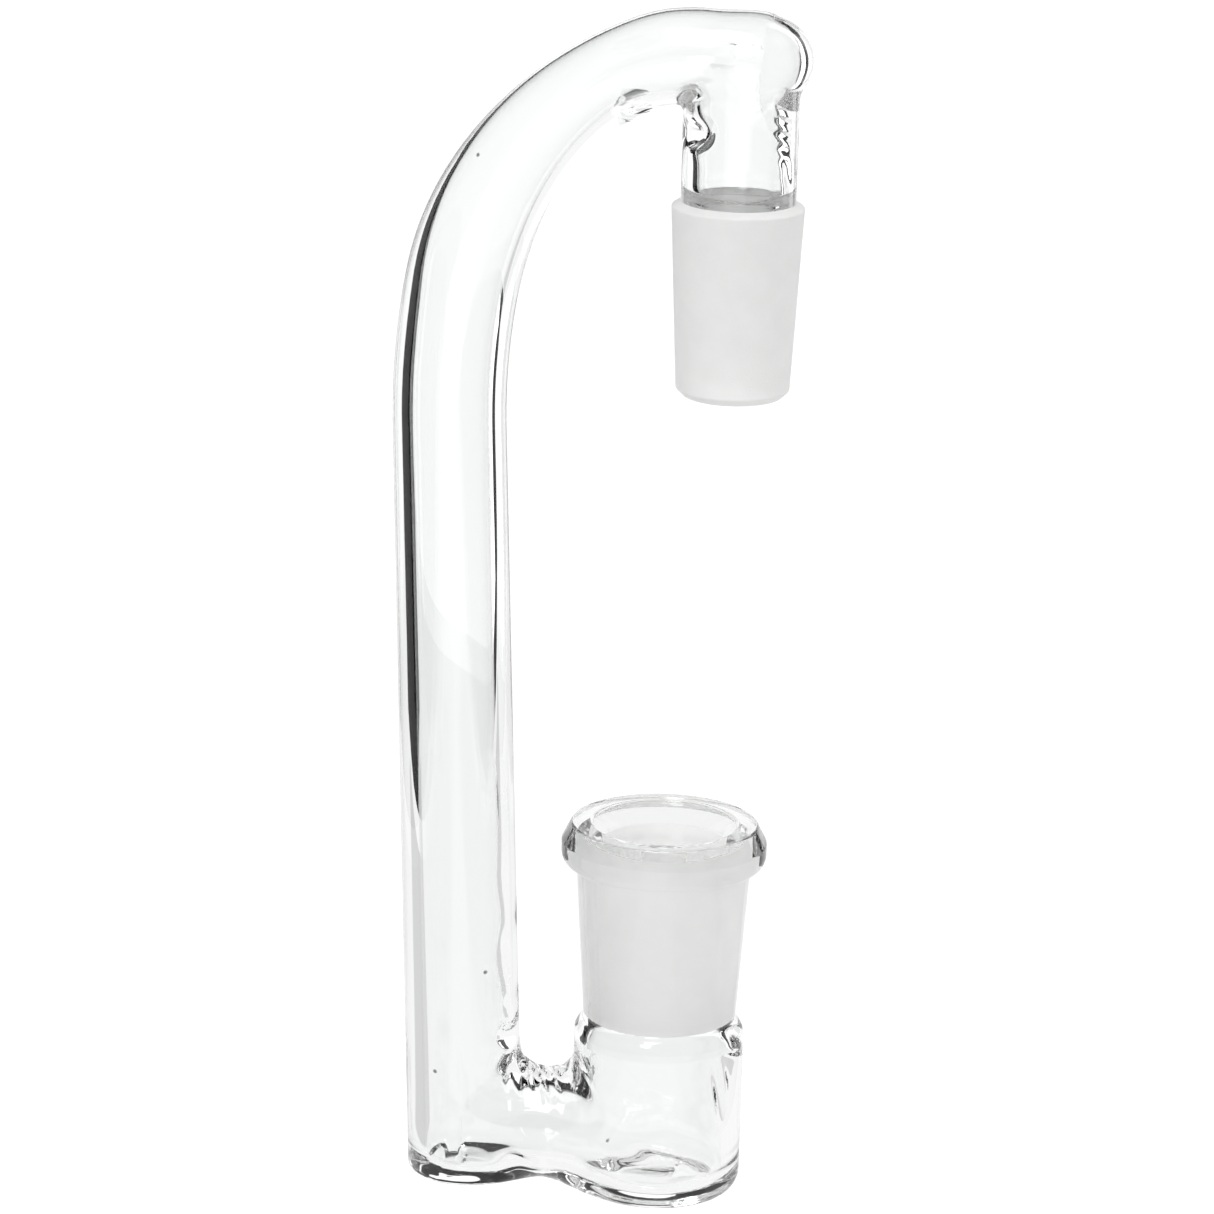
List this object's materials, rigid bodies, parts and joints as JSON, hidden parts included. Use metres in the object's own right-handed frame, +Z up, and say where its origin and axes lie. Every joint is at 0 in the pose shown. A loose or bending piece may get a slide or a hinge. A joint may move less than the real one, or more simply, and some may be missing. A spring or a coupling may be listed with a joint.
{
  "type": "glass drop adapter",
  "caption": "Clear glass drop adapter: cane-shaped tube with a hanging ground male joint and a closed cup under a ground female socket, fused side by side by a bridge tube.",
  "frame": {"origin": "centre of the cup's flat bottom, on the axis of the female socket", "axes": "+Z up along the socket's axis; the riser stands on -X and the male joint's axis is at x = +6.1 mm; XZ is the plane of symmetry"},
  "size_m": [0.046, 0.0232, 0.1367],
  "materials": {
    "clear_glass": "clear fire-polished borosilicate tubing, drawn and fused by hand",
    "ground_glass": "fine-ground white frosted taper surface"
  },
  "bodies": {
    "root": {"riser_foot": "clear_glass", "riser_tube": "clear_glass", "crook_bend": "clear_glass", "crook_head": "clear_glass", "neck_weld": "clear_glass", "male_neck": "clear_glass", "male_cone": "ground_glass", "bridge_weld": "clear_glass", "bridge_tube": "clear_glass", "cup_base": "clear_glass", "cup_body": "clear_glass", "cup_shoulder": "clear_glass", "socket_cone": "ground_glass", "socket_collar": "clear_glass"}
  },
  "joints": []
}
